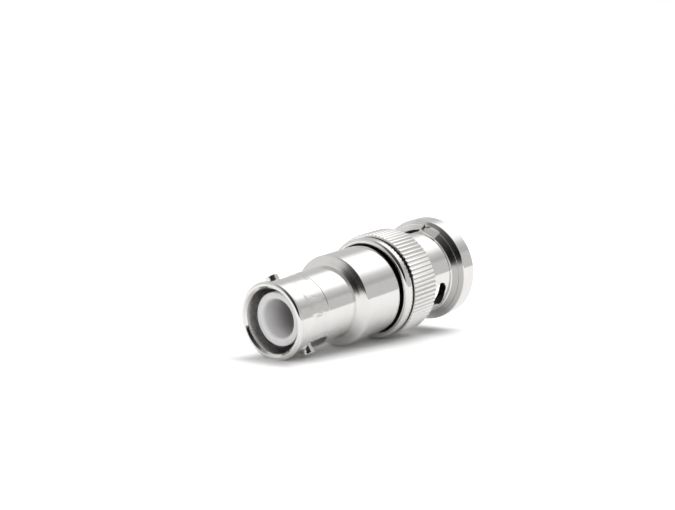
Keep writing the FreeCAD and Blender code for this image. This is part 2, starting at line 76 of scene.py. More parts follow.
NECK_FOOT, RIM_TOP, BODY_RADIUS = extent("shv_jack_shell")
BARREL_RADIUS = 4.85
JACK_BORE = 4.20
NECK_RADIUS = 4.10
BODY_FOOT = 16.00
SHOULDER_FOOT = 22.73
SHOULDER_TOP = 23.62
BORE_FLOOR = 25.40
BAND_FOOT = 28.95
LAND_FOOT = 32.20
LUG_HEIGHT = RIM_TOP - 3.65

_, NUT_TOP, NUT_RADIUS = extent("coupling_nut")
NUT_BARREL = 5.94
NUT_BORE = 4.90
CONE_FOOT = 2.54
CONE_TOP = 3.78
KNURL_FOOT = 9.25
KNURL_TOP = 14.03
COLLAR_FOOT = 14.25
COLLAR_TOP = NUT_TOP - 0.04
COLLAR_RADIUS = 6.90

BOTH_SIDES = (0.0, math.pi)
print("rim at", RIM_TOP, "mm, nut", NUT_RADIUS * 2, "mm across")

# %% [markdown]
# ## Camera
# The photograph shows the adapter lying on its rim and its knurl, seen from a
# little above the table. Laying the model down would move it out of its own frame,
# so the camera goes round it instead. The camera, the table and the lights are all
# given in the model's directions: `UP` is the way up in the photograph, `RIGHT` runs
# to the right of it and `AWAY` runs into it.

# %% Camera
RIGHT = Vector((-0.440609, -0.634397, -0.635140))
UP = Vector((0.866245, -0.486114, -0.115386)).normalized()
AWAY = UP.cross(RIGHT).normalized()
LOOK = Vector((0.147170, 0.646900, -0.748239))
EYE = Vector((-18.353, -105.505, 139.720)) * MM

camera_data = bpy.data.cameras.new("Camera")
camera_data.sensor_width = 36.0
camera_data.lens = 64.571
camera_data.clip_start = 0.005
camera_data.clip_end = 20.0
camera = bpy.data.objects.new("Camera", camera_data)
bpy.context.scene.collection.objects.link(camera)
over = RIGHT.cross(LOOK)
camera.matrix_world = Matrix((
    (RIGHT.x, over.x, -LOOK.x, EYE.x),
    (RIGHT.y, over.y, -LOOK.y, EYE.y),
    (RIGHT.z, over.z, -LOOK.z, EYE.z),
    (0.0, 0.0, 0.0, 1.0),
))
bpy.context.scene.camera = camera
print("camera is", round(EYE.length / MM), "mm from the nut's face")

# %% [markdown]
# ## A small language for shaders
# Shader maths could be built node by node, but it reads best as ordinary sums. A
# `Wire` wraps one output of a node, and adding or multiplying wires adds the Math
# nodes that do it. Every other node comes from `Wire.node`.

# %% Wires
class Wire:
    tree = None

    def __init__(self, socket):
        self.socket = socket

    @classmethod
    def node(cls, kind, settings=None, inputs=None, output=0):
        made = cls.tree.nodes.new(kind)
        for name, value in (settings or {}).items():
            setattr(made, name, value)
        for name, value in (inputs or {}).items():
            socket = made.inputs[name]
            if isinstance(value, Wire):
                cls.tree.links.new(value.socket, socket)
            else:
                socket.default_value = value
        return cls(made.outputs[output])

    def _math(self, operation, first, second):
        return Wire.node("ShaderNodeMath", {"operation": operation}, {0: first, 1: second})

    def __add__(self, other):
        return self._math("ADD", self, other)

    __radd__ = __add__

    def __sub__(self, other):
        return self._math("SUBTRACT", self, other)

    def __rsub__(self, other):
        return self._math("SUBTRACT", other, self)

    def __mul__(self, other):
        return self._math("MULTIPLY", self, other)

    __rmul__ = __mul__

    def __truediv__(self, other):
        return self._math("DIVIDE", self, other)

    def power(self, other):
        return self._math("POWER", self, other)

    def larger(self, other):
        return self._math("MAXIMUM", self, other)

    def ramp(self, low, high, first=0.0, last=1.0):
        """A smooth step from one value to another."""
        return Wire.node(
            "ShaderNodeMapRange",
            {"interpolation_type": "SMOOTHSTEP"},
            {"Value": self, "From Min": low, "From Max": high, "To Min": first, "To Max": last},
        )


print("wires can be added, multiplied and stepped")

# %% [markdown]
# Every finish starts in the same way: a Principled shader, and a place on the piece.
# Places are Object coordinates in millimetres from the part's origin, because the
# pattern then stays on the metal from every side. Noise sizes are millimetres too.

# %% Finishes in general
def material(name, **constants):
    """A new material, and its Principled shader ready to be wired."""
    made = bpy.data.materials.new(name)
    made.use_nodes = True
    Wire.tree = made.node_tree
    shader = next(n for n in made.node_tree.nodes if n.type == "BSDF_PRINCIPLED")
    for socket, value in constants.items():
        shader.inputs[socket.replace("_", " ")].default_value = value
    return made, shader


def feed(shader, socket, wire):
    Wire.tree.links.new(wire.socket, shader.inputs[socket])


def emboss(shader, height):
    """Raises the surface by a height in millimetres."""
    bump = {"Strength": 1.0, "Distance": MM, "Height": height}
    feed(shader, "Normal", Wire.node("ShaderNodeBump", inputs=bump))


def blend_colour(factor, first, second):
    """Mixes two colours, given as triples or as wires."""
    first, second = (c if isinstance(c, Wire) else (*c, 1.0) for c in (first, second))
    sockets = {0: factor, 6: first, 7: second}
    return Wire.node("ShaderNodeMix", {"data_type": "RGBA"}, sockets, output=2)


def vector(x=0.0, y=0.0, z=0.0):
    return Wire.node("ShaderNodeCombineXYZ", inputs={"X": x, "Y": y, "Z": z})


def place_split():
    """The place on the piece as three wires, in millimetres."""
    place = Wire.node("ShaderNodeTexCoord", output="Object")
    split = Wire.node("ShaderNodeSeparateXYZ", inputs={0: place})
    return [Wire(out) * (1.0 / MM) for out in split.socket.node.outputs]


def noise(place, size, detail=3.0, rough=0.55):
    """A noise whose features measure about so many millimetres."""
    return Wire.node(
        "ShaderNodeTexNoise",
        inputs={"Vector": place, "Scale": 1.0 / size, "Detail": detail, "Roughness": rough},
    )


def zone(value, low, high, soft=0.04):
    """One between two values, with soft ends."""
    return value.ramp(low - soft, low + soft) * (1.0 - value.ramp(high - soft, high + soft))


print("finishes are measured in millimetres")

# %% [markdown]
# ## Nickel plate
# The shell and the nut are brass, turned on a lathe, polished and plated with
# nickel, a slightly warm grey. A plain metal shader would look like a mirror made by
# a computer, so several faint things are added. Rings round the axis are the lathe's
# marks, and their noise changes only with height and radius. Cloudy patches dull the
# plate here and there, and rare pits are dark points. Recesses and gaps get painted
# shade, a dark colour, and are rougher. Each of these is held back to its own zone.

# %% Nickel
PLATE = (0.80, 0.79, 0.775)
PLATE_CLOUD = (0.785, 0.77, 0.75)
PIT = (0.30, 0.28, 0.26)
# The dark colour of the painted shade in recesses and gaps.
PAINTED_SHADE_DARK = (0.035, 0.033, 0.03)


# The grooves zone says where a dark colour is mixed into the plate: painted shade in the recesses and
# gaps of the shell and the nut, and a share all over on the fingers. Those places are also rougher.
def nickel(name, rings, grooves, milled=None, tool_lines=None, dull=0.07):
    """Nickel plate. A zone is a function of place that says how much of a finish is there."""
    made, shader = material(name, Metallic=1.0)
    x, y, z = place_split()
    reach = (x * x + y * y).power(0.5)
    under = (x + y) * -math.sqrt(0.5) / reach
    place = (reach, z, under)
    spot = vector(x, y, z)
    across_rings = vector(z * 1.1 + reach * 1.9)

    lathe = noise(across_rings, 0.16, 3.0, 0.6)
    turning = noise(vector(z + reach * 1.4, reach), 0.9, 2.0)
    patches = noise(spot, 1.6, 4.0, 0.65)
    cells = {"Vector": spot, "Scale": 0.55, "Randomness": 1.0}
    pits = Wire.node("ShaderNodeTexVoronoi", inputs=cells, output="Distance").ramp(0.02, 0.045, 1.0, 0.0)

    ringed = rings(*place)
    darkened = grooves(*place)
    shade = blend_colour(patches.ramp(0.35, 0.7), PLATE, PLATE_CLOUD)
    shade = blend_colour(pits, shade, PIT)
    # Painted shade: the dark colour is mixed in where the grooves zone says.
    feed(shader, "Base Color", blend_colour(darkened, shade, PAINTED_SHADE_DARK))
    roughness = dull + turning.ramp(0.4, 0.75) * 0.05 + patches.ramp(0.45, 0.8) * 0.05
    roughness = roughness + ringed * 0.08 + pits * 0.3 + darkened * darkened * 0.4
    height = lathe * (ringed * 0.010) + turning * 0.0012 - pits * 0.02
    if milled:
        scuffs = noise(vector(x, y, z * 0.5), 0.7, 1.5, 0.5)
        roughness = roughness + scuffs * milled(*place) * 0.12
        height = height + scuffs * (milled(*place) * 0.060)
    if tool_lines:
        height = height + noise(across_rings, 0.36, 1.0) * (tool_lines(*place) * 0.024)
    feed(shader, "Roughness", roughness)
    emboss(shader, height)
    return made


print("nickel can be ringed, milled and dirty")

# %% [markdown]
# Where the finishes go is read off the photograph. On the shell the rings are
# clearest on the shoulder and in the bore, the mill has scuffed the band round the
# lugs, and shade is painted behind the large cylinder, where the shell goes into the
# nut. On the nut shade is painted where the shell goes in, in the undercut, on the
# lower side of the flange's cone and on the slots' walls. The spring fingers are
# darker and duller all over.

# %% Zones of the shell, the nut and the fingers
def shoulder(reach, z, under):
    return zone(z, SHOULDER_FOOT + 0.03, SHOULDER_TOP - 0.02)


def shell_rings(reach, z, under):
    bore = zone(z, BORE_FLOOR, RIM_TOP - 0.4) * (1.0 - reach.ramp(JACK_BORE + 0.02, JACK_BORE + 0.08))
    return shoulder(reach, z, under) + bore * 2.2 + 0.10


def shell_band(reach, z, under):
    return zone(z, BAND_FOOT + 0.45, LAND_FOOT - 0.10, 0.3)


# Painted shade: the shell is darkened behind the large cylinder, in the gap where it goes into the nut.
def shell_painted_shade(reach, z, under):
    return 1.0 - z.ramp(BODY_FOOT - 0.01, BODY_FOOT + 0.03)


def nut_rings(reach, z, under):
    cone = zone(z, CONE_FOOT - 0.04, CONE_TOP + 0.12)
    collar = zone(z, COLLAR_FOOT + 0.05, COLLAR_TOP - 0.06)
    return cone * 0.15 + collar * 0.2


# Painted shade: the nut is darkened where the shell goes in, in the undercut, on the lower side of the
# flange's cone and on the slots' walls.
def nut_painted_shade(reach, z, under):
    mouth = z.ramp(14.9, 15.0) * (1.0 - reach.ramp(6.22, 6.30))
    undercut = zone(z, KNURL_TOP, COLLAR_FOOT, 0.02) * (1.0 - reach.ramp(6.80, 6.88))
    cone = zone(z, CONE_FOOT + 0.02, CONE_TOP - 0.06) * reach.ramp(NUT_BARREL, 6.0)
    slot_walls = zone(z, 4.9, 7.6) * (1.0 - reach.ramp(5.72, 5.86))
    return mouth + undercut + cone * under.ramp(0.3, 0.8) * 0.42 + slot_walls


def finger_rings(reach, z, under):
    return 0.3


# The fingers are darker all over by a fixed share of the dark colour.
def finger_darkening(reach, z, under):
    return 0.35


shell_nickel = nickel("shell nickel", shell_rings, shell_painted_shade, milled=shell_band, tool_lines=shoulder)
nut_nickel = nickel("nut nickel", nut_rings, nut_painted_shade)
finger_nickel = nickel("finger nickel", finger_rings, finger_darkening, dull=0.16)
print("nickel finishes:", shell_nickel.name, nut_nickel.name, finger_nickel.name)

# %% [markdown]
# ## White insulators
# The insulators are turned from a rod of white fluoropolymer, which is waxy, a
# little translucent and never quite even. A flat white would look like paint, so
# light is let in under the skin, and soft clouds change the white. Hardly any light
# gets deep into the jack's bore, where the photograph shows grey, and a darker
# colour down there helps that shade along.

# %% Waxy white
def waxy_white():
    made, shader = material(
        "waxy white",
        Subsurface_Weight=0.35,
        Subsurface_Radius=(1.0, 1.0, 1.0),
        Subsurface_Scale=0.6 * MM,
    )
    x, y, z = place_split()
    reach = (x * x + y * y).power(0.5)
    turning = noise(vector(z * 1.1 + reach * 1.9), 0.2, 2.0)
    clouds = noise(vector(x, y, z), 2.0)
    tube = blend_colour(clouds.ramp(0.3, 0.7), (0.90, 0.895, 0.90), (0.93, 0.925, 0.925))
    deep = (1.0 - z.ramp(27.5, 33.0)) * (1.0 - reach.ramp(2.6, 2.8))
    feed(shader, "Base Color", blend_colour(deep, tube, (0.46, 0.44, 0.44)))
    feed(shader, "Roughness", 0.36 + clouds * 0.12)
    emboss(shader, turning * 0.006)
    return made


white = waxy_white()
print("insulators:", white.name)

# %% [markdown]
# ## Gold, gasket and spring metal
# The contacts are gold plated, the gasket is a soft black silicone, and the rings
# and washers are rolled bronze with a grain along one direction. They are small and
# mostly hidden, so one noise each is enough for colour, roughness and surface.

# %% Gold, silicone and bronze
def plated_gold():
    made, shader = material("plated gold", Metallic=1.0)
    clouds = noise(vector(*place_split()), 0.9)
    shade = blend_colour(clouds.ramp(0.3, 0.7), (0.86, 0.63, 0.28), (0.80, 0.57, 0.24))
    feed(shader, "Base Color", shade)
    feed(shader, "Roughness", 0.16 + clouds * 0.12)
    return made


def black_silicone():
    made, shader = material("black silicone")
    clouds = noise(vector(*place_split()), 1.2)
    shade = blend_colour(clouds.ramp(0.3, 0.7), (0.03, 0.03, 0.03), (0.05, 0.05, 0.048))
    feed(shader, "Base Color", shade)
    feed(shader, "Roughness", 0.45 + clouds * 0.2)
    emboss(shader, clouds * 0.01)
    return made


def rolled_bronze():
    made, shader = material("rolled bronze", Metallic=1.0)
    x, y, z = place_split()
    grain = noise(vector(x * 0.6, y * 12.0, z * 0.6), 0.8)
    shade = blend_colour(grain.ramp(0.3, 0.7), (0.62, 0.56, 0.48), (0.70, 0.63, 0.54))
    feed(shader, "Base Color", shade)
    feed(shader, "Roughness", 0.22 + grain * 0.2)
    emboss(shader, grain * 0.002)
    return made


gold = plated_gold()
silicone = black_silicone()
bronze = rolled_bronze()
print("other finishes:", gold.name, silicone.name, bronze.name)

# %% [markdown]
# ## Turning
# A lathe makes a shape by spinning a half section, and so does `turned`. The corners
# are rounded before the spin, while the section is still a loop of edges. A bevel on
# the finished mesh would do it too, but here it makes one clean arc that the spin
# carries all the way round. Small rounds matter: on bright metal each edge is a thin
# line of light.

# %% A lathe
CREASE = math.radians(32.0)


def as_object(bm, name, finish):
    bmesh.ops.recalc_face_normals(bm, faces=bm.faces)
    mesh = bpy.data.meshes.new(name)
    bm.to_mesh(mesh)
    bm.free()
    for face in mesh.polygons:
        face.use_smooth = True
    mesh.set_sharp_from_angle(angle=CREASE)
    if finish is not None:
        mesh.materials.append(finish)
    made = bpy.data.objects.new(name, mesh)
    bpy.context.scene.collection.objects.link(made)
    return made


def steps_in_round(rounding):
    """A larger round takes more steps, so that none shows as flats."""
    if rounding < 0.07:
        return 3
    return 7 if rounding < 0.3 else 24


def section(bm, corners):
    """A loop of edges from corners given as radius, height and rounding."""
    points = [bm.verts.new((r * MM, 0.0, z * MM)) for r, z, _ in corners]
    for index, point in enumerate(points):
        bm.edges.new((point, points[(index + 1) % len(points)]))
    for point, (_, _, rounding) in zip(points, corners):
        if rounding > 0.0:
            bmesh.ops.bevel(
                bm, geom=[point], offset=rounding * MM, offset_type="OFFSET",
                segments=steps_in_round(rounding), profile=0.5, affect="VERTICES",
                clamp_overlap=False, material=-1,
            )


def spin_section(corners, steps):
    bm = bmesh.new()
    section(bm, corners)
    bmesh.ops.spin(
        bm, geom=bm.verts[:] + bm.edges[:], cent=(0, 0, 0), axis=(0, 0, 1), dvec=(0, 0, 0),
        angle=math.tau, steps=steps, use_merge=True,
    )
    bmesh.ops.remove_doubles(bm, verts=bm.verts, dist=0.002 * MM)
    return bm


def turned(name, finish, corners, steps=192):
    made = as_object(spin_section(corners, steps), name, finish)
    print(name, "has", len(made.data.polygons), "faces")
    return made


print("lathe ready")

# %% [markdown]
# ## Shading a turning
# Blender guesses the direction of the light on a smooth mesh from the faces round
# each corner. On a mirror finish that guess shows as blotches next to every cut. A
# turned strip is a piece of a cone, though, and the direction of a cone is known. So
# each strip gets it exactly, and only the milled faces keep the guess.

# %% Even shading
SEAM = math.radians(20.0)


def angle_round(outward, corner):
    """How far round the axis a corner lies from a direction."""
    aside = outward.x * corner.y - outward.y * corner.x
    ahead = outward.x * corner.x + outward.y * corner.y
    return math.atan2(aside, ahead)


def even_shading(piece, strip=3.0):
    """Shades as cones the faces that lie on one and are at most `strip` degrees wide."""
    mesh = piece.data
    mesh.set_sharp_from_angle(angle=SEAM)
    normals = [Vector(corner.vector) for corner in mesh.corner_normals]
    for face in mesh.polygons:
        middle = Vector((face.center.x, face.center.y, 0.0))
        if middle.length < 0.0001:
            continue
        outward = middle.normalized()
        slant = outward.dot(face.normal)
        rise = Vector((0.0, 0.0, face.normal.z))
        sideways = face.normal - outward * slant - rise
        corners = [mesh.vertices[index].co for index in face.vertices]
        turns = [angle_round(outward, corner) for corner in corners]
        if sideways.length > 0.02 or max(turns) - min(turns) > math.radians(strip):
            continue
        for loop, corner in zip(face.loop_indices, corners):
            reach = math.hypot(corner.x, corner.y)
            if reach > 0.0001:
                way = Vector((corner.x / reach, corner.y / reach, 0.0))
                normals[loop] = (way * slant + rise).normalized()
    mesh.normals_split_custom_set(normals)


WIDE_STRIP = 360.0 / 90
print("turned strips are shaded as cones")

# %% [markdown]
# ## Milling
# A mill takes metal away, and a Boolean does the same with a solid tool. Drawing the
# cut faces by hand would be hard where a slot runs through a round wall. The result
# is kept as a plain mesh at once, so the tools can go and nothing is left to compute.

# %% A mill
def cut(piece, tool):
    """Takes one solid out of another."""
    blade = piece.modifiers.new("Cut", "BOOLEAN")
    blade.operation = "DIFFERENCE"
    blade.solver = "EXACT"
    blade.object = tool
    seen = bpy.context.evaluated_depsgraph_get()
    result = bpy.data.meshes.new_from_object(piece.evaluated_get(seen))
    piece.modifiers.clear()
    spare = piece.data
    piece.data = result
    bpy.data.meshes.remove(spare)
    bpy.data.objects.remove(tool)
    piece.data.set_sharp_from_angle(angle=CREASE)


def swing(bm, angle):
    """Turns a tool round the part's axis."""
    bmesh.ops.rotate(bm, verts=bm.verts, cent=(0, 0, 0), matrix=Matrix.Rotation(angle, 3, "Z"))


def lay_over(bm, height):
    """Lays a tool that stands on the axis over to point along X, at a height."""
    bmesh.ops.transform(bm, matrix=Matrix.Rotation(math.pi / 2, 4, "Y"), verts=bm.verts)
    bmesh.ops.translate(bm, verts=bm.verts, vec=(0, 0, height * MM))


def block(size, middle):
    """A box from its three sizes and the place of its middle."""
    bm = bmesh.new()
    bmesh.ops.create_cube(bm, size=1.0)
    bmesh.ops.scale(bm, vec=tuple(s * MM for s in size), verts=bm.verts)
    bmesh.ops.translate(bm, verts=bm.verts, vec=tuple(m * MM for m in middle))
    return bm


print("mill ready")

# %% [markdown]
# ## The jack's shell
# One bar carries everything from the rim to the neck. It could be stacked from
# cylinders, but then every step would need a joint. As one section it is a single
# closed skin, like the bar. The neck, its ring groove and the inner bore are hidden
# in the nut, and they are there because the mesh is a result in its own right.

# %% Turn the shell
shell = turned("jack_shell", shell_nickel, [
    (JACK_BORE, BORE_FLOOR, 0.10),
    (JACK_BORE, RIM_TOP - 0.34, 0.06),
    (4.52, RIM_TOP, 0.05),
    (4.84, RIM_TOP, 0.12),
    (5.04, RIM_TOP - 0.22, 0.12),
    (5.04, RIM_TOP - 0.48, 0.08),
    (BARREL_RADIUS, RIM_TOP - 0.68, 0.05),
    (BARREL_RADIUS, LAND_FOOT, 0.02),
    (4.79, LAND_FOOT - 0.02, 0.02),
    (4.82, BAND_FOOT, 0.00),
    (BARREL_RADIUS, BAND_FOOT - 0.05, 0.00),
    (BARREL_RADIUS, SHOULDER_TOP, 0.06),
    (BODY_RADIUS, SHOULDER_FOOT, 0.06),
    (BODY_RADIUS, BODY_FOOT, 0.08),
    (5.50, BODY_FOOT, 0.03),
    (5.50, 15.14, 0.03),
    (NECK_RADIUS, 15.14, 0.05),
    (NECK_RADIUS, 12.52, 0.03),
    (3.74, 12.52, 0.00),
    (3.74, 11.98, 0.00),
    (NECK_RADIUS, 11.98, 0.03),
    (NECK_RADIUS, NECK_FOOT, 0.05),
    (3.30, NECK_FOOT, 0.05),
    (3.30, 19.00, 0.00),
    (3.50, 19.00, 0.05),
    (3.50, BORE_FLOOR, 0.05),
], steps=256)

# %% [markdown]
# Beside each lug a mill has left a pocket with a flat floor and rounded corners. The
# tool is that outline, grown outwards from the floor past the barrel, so the pocket
# is as deep as the real one in its middle and runs out to nothing at its sides.

# %% Mill the pockets
POCKET_FLOOR = 4.37
POCKET_FOOT = 28.40
POCKET_TOP = 32.16
POCKET_HALF_WIDTH = 2.15
POCKET_CORNER = 0.90


def pocket_cutter():
    bm = bmesh.new()
    points = [
        bm.verts.new((POCKET_FLOOR * MM, y * MM, z * MM))
        for y, z in (
            (-POCKET_HALF_WIDTH, POCKET_FOOT), (POCKET_HALF_WIDTH, POCKET_FOOT),
            (POCKET_HALF_WIDTH, POCKET_TOP), (-POCKET_HALF_WIDTH, POCKET_TOP),
        )
    ]
    bm.faces.new(points)
    bmesh.ops.bevel(
        bm, geom=points[:2], offset=POCKET_CORNER * MM, offset_type="OFFSET", segments=10,
        profile=0.5, affect="VERTICES", clamp_overlap=False, material=-1,
    )
    grown = bmesh.ops.extrude_face_region(bm, geom=bm.faces[:])
    moved = [v for v in grown["geom"] if isinstance(v, bmesh.types.BMVert)]
    bmesh.ops.translate(bm, verts=moved, vec=(1.5 * MM, 0, 0))
    return bm


for turn in BOTH_SIDES:
    bm = pocket_cutter()
    swing(bm, turn)
    cut(shell, as_object(bm, "pocket cutter", None))
print("shell after milling has", len(shell.data.polygons), "faces")

# %% [markdown]
# The lugs are plain pins with a small bevel, pressed into the shell. They are turned
# standing up, laid over to point along X and added to the shell's mesh. Melting them
# in with a Boolean would give the same look, and one more chance of a bad seam.

# %% Press in the lugs
LUG_RADIUS = 0.86
LUG_ROOT = 4.30
LUG_TIP = 5.50


def lug(turn):
    root = [(0.0, LUG_ROOT, 0), (LUG_RADIUS, LUG_ROOT, 0)]
    tip = [(LUG_RADIUS, LUG_TIP, 0.09), (0.0, LUG_TIP, 0)]
    bm = spin_section(root + tip, 48)
    lay_over(bm, LUG_HEIGHT)
    swing(bm, turn)
    return bm


def join(piece, bm):
    """Adds loose geometry to a finished piece."""
    bmesh.ops.recalc_face_normals(bm, faces=bm.faces)
    extra = bpy.data.meshes.new("extra")
    bm.to_mesh(extra)
    bm.free()
    whole = bmesh.new()
    whole.from_mesh(piece.data)
    whole.from_mesh(extra)
    whole.to_mesh(piece.data)
    whole.free()
    bpy.data.meshes.remove(extra)
    for face in piece.data.polygons:
        face.use_smooth = True
    piece.data.set_sharp_from_angle(angle=CREASE)


for turn in BOTH_SIDES:
    join(shell, lug(turn))
even_shading(shell)
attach(shell, "adapter_body")
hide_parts("shv_jack_shell")
print("shell box", [round(v, 4) for v in shell.bound_box[6]])

# %% [markdown]
# ## The coupling nut
# The nut turns on the shell's neck and pulls the mating connector home. It is
# turned in one pass of eight steps to each knurl groove, so the grooves can be
# pressed in by moving points.

# %% Turn the nut
KNURLS = 72

nut = turned("nut", nut_nickel, [
    (NUT_BORE, 0.25, 0.06),
    (5.15, 0.00, 0.05),
    (7.07, 0.00, 0.05),
    (NUT_RADIUS, 0.18, 0.06),
    (NUT_RADIUS, CONE_FOOT - 0.12, 0.04),
    (7.18, CONE_FOOT, 0.05),
    (6.70, 3.06, 0.02),
    (6.62, 3.06, 0.02),
    (NUT_BARREL, CONE_TOP, 0.20),
    (NUT_BARREL, KNURL_FOOT, 0.05),
    (7.14, KNURL_FOOT, 0.03),
    (NUT_RADIUS, KNURL_FOOT + 0.11, 0.03),
    (NUT_RADIUS, KNURL_TOP - 0.03, 0.00),
    (7.22, KNURL_TOP, 0.00),
    (6.72, KNURL_TOP, 0.03),
    (6.72, COLLAR_FOOT, 0.03),
    (COLLAR_RADIUS, COLLAR_FOOT, 0.04),
    (COLLAR_RADIUS, COLLAR_TOP, 0.45),
    (6.38, COLLAR_TOP, 0.03),
    (6.36, NUT_TOP, 0.00),
    (6.28, NUT_TOP, 0.03),
    (6.28, 15.12, 0.00),
    (4.16, 15.12, 0.03),
    (4.16, 14.42, 0.03),
    (NUT_BORE, 14.42, 0.05),
], steps=KNURLS * 8)

# %% [markdown]
# A knurling wheel pushes narrow grooves into the rim, and the metal between them
# stands up as rounded ridges. Moving the points of the finished turning is the
# shortest way to the same shape: a point sinks most in the middle of a groove and
# less by the square of its distance from there, which rounds the ridges.

# %% Knurl it
KNURL_DEPTH = 0.13

for point in nut.data.vertices:
    x, y, z = (c / MM for c in point.co)
    reach = math.hypot(x, y)
    if reach > NUT_RADIUS - 0.23 and KNURL_FOOT - 0.01 < z < KNURL_TOP + 0.01:
        turn = math.atan2(y, x) / math.tau * KNURLS
        off = abs(turn - round(turn)) * 2.0
        new = max(reach - KNURL_DEPTH * (1.0 - off) ** 2, NUT_RADIUS - 0.25)
        point.co.x *= new / reach
        point.co.y *= new / reach
print("knurl of", KNURLS, "grooves on", round(NUT_RADIUS * 2, 2), "mm")

# %% [markdown]
# The cam slots are cut by a mill that stays still while the nut turns and climbs
# under it. A screw spin of a small section is that same motion. The slot is a blind
# groove at first and opens through the skin further on, so it takes two cuts of
# different reach. Angles are measured round the axis from the jack's lugs.

# %% The mill's path along a cam
CAM_START = -63.0
CAM_TURN = 105.0
CAM_RISE = 2.0
CAM_WIDTH = 2.35
CAM_FIRST_HEIGHT = 4.20
DETENT_ANGLE = CAM_START + CAM_TURN
SKIN_OPENS = -37.0


def cam_cutter(first, last, inner, outer, inset=0.0):
    """The path of the mill between two angles and two radii."""
    rise = CAM_RISE / CAM_TURN
    low = CAM_FIRST_HEIGHT + (first - CAM_START) * rise - CAM_WIDTH / 2
    foot = low + inset
    top = low + CAM_WIDTH - inset
    bm = bmesh.new()
    outline = ((inner, foot), (outer, foot), (outer, top), (inner, top))
    bm.faces.new([bm.verts.new((r * MM, 0.0, z * MM)) for r, z in outline])
    steps = math.ceil((last - first) / 1.25)
    bmesh.ops.spin(
        bm, geom=bm.verts[:] + bm.edges[:] + bm.faces[:], cent=(0, 0, 0), axis=(0, 0, 1),
        dvec=(0, 0, (last - first) * rise / steps * MM), angle=math.radians(last - first),
        steps=steps, use_merge=False,
    )
    swing(bm, math.radians(first))
    return bm


print("cams climb", CAM_RISE, "mm in", CAM_TURN, "degrees")

# %% [markdown]
# Each slot ends in a round detent that holds the lug, and starts over a straight
# channel that lets it in. A small flat is milled on the flange where the slot begins.
# The detent is drilled first, while the wall is whole, and the widest cuts come last,
# because a Boolean is surest where its walls don't lie on walls cut before.

# %% Cut the cams
DETENT_RADIUS = 1.25
DETENT_HEIGHT = CAM_FIRST_HEIGHT + CAM_RISE


def detent_cutter():
    drill = [(0.0, 4.4, 0), (DETENT_RADIUS, 4.4, 0), (DETENT_RADIUS, 7.8, 0), (0.0, 7.8, 0)]
    bm = spin_section(drill, 64)
    on_axis = [edge for edge in bm.edges if len(edge.link_faces) != 2]
    bmesh.ops.delete(bm, geom=on_axis, context="EDGES")
    lay_over(bm, DETENT_HEIGHT)
    swing(bm, math.radians(DETENT_ANGLE))
    return bm


def channel_cutter():
    bm = block((1.25, CAM_WIDTH, 5.2), (5.025, 0.0, 1.6))
    swing(bm, math.radians(CAM_START) + math.asin(CAM_WIDTH / 2 / NUT_BARREL))
    return bm


def flat_cutter():
    bm = block((2.0, 2.7, 1.7), (6.96, 0.55, 3.75))
    swing(bm, math.radians(-56.0))
    return bm


for make_tool, sizes in (
    (detent_cutter, ()),
    (channel_cutter, ()),
    (flat_cutter, ()),
    (cam_cutter, (CAM_START, DETENT_ANGLE, 4.40, 5.65)),
    (cam_cutter, (SKIN_OPENS, 41.3, 5.60, 7.80, 0.03)),
):
    for turn in BOTH_SIDES:
        bm = make_tool(*sizes)
        swing(bm, turn)
        cut(nut, as_object(bm, "cutter", None))
even_shading(nut)
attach(nut, "nut")
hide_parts("coupling_nut")
print("nut has", len(nut.data.polygons), "faces")

# %% [markdown]
# ## Insulators and contacts
# The jack's insulator is the white tube seen in the open end, with a mouth that
# guides the mating plug. Its pin is set deep inside, where no finger can touch the
# high voltage. Both are plain turnings on the real part, so the lathe makes them too.
# A pin takes half as many steps as a tube, because it is thin.

# %% Turn the jack's inside
tube_foot, tube_top, tube_radius = extent("shv_insulator")
insulator = turned("jack_tube", white, [
    (1.09, tube_foot, 0.0),
    (tube_radius, tube_foot, 0.05),
    (tube_radius, tube_top, 0.10),
    (2.72, tube_top, 0.10),
    (2.50, tube_top - 0.30, 0.20),
    (2.50, 26.80, 0.05),
    (2.30, 26.80, 0.03),
    (2.30, 22.00, 0.10),
    (1.09, 22.00, 0.03),
])
even_shading(insulator, WIDE_STRIP)
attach(insulator, "adapter_body")
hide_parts("shv_insulator")

pin_foot, pin_top, pin_flange = extent("shv_contact_pin")
jack_pin = turned("jack_pin", gold, [
    (0.0, pin_foot, 0.0),
    (0.45, pin_foot, 0.05),
    (0.45, 18.01, 0.0),
    (pin_flange, 18.01, 0.04),
    (pin_flange, 19.00, 0.04),
    (1.05, 19.00, 0.0),
    (1.05, 22.35, 0.05),
    (0.80, 22.35, 0.0),
    (0.80, pin_top, 0.38),
    (0.0, pin_top, 0.0),
], steps=96)
even_shading(jack_pin, WIDE_STRIP)
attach(jack_pin, "adapter_body")
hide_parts("shv_contact_pin")

# %% [markdown]
# The plug's insulator is hidden behind the spring fingers, and its pin stands free in
# its mouth. Each pin has a wide flange that two insulators trap, which is how the
# real contacts are held.

# %% Turn the plug's inside
tube_foot, tube_top, tube_radius = extent("bnc_insulator")
plug_tube = turned("plug_tube", white, [
    (1.09, 10.40, 0.04),
    (2.45, 10.40, 0.10),
    (2.45, tube_foot, 0.08),
    (tube_radius, tube_foot, 0.08),
    (tube_radius, 10.98, 0.0),
    (2.76, 10.98, 0.0),
    (2.76, tube_top, 0.0),
    (1.09, tube_top, 0.0),
])
even_shading(plug_tube, WIDE_STRIP)
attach(plug_tube, "adapter_body")
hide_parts("bnc_insulator")

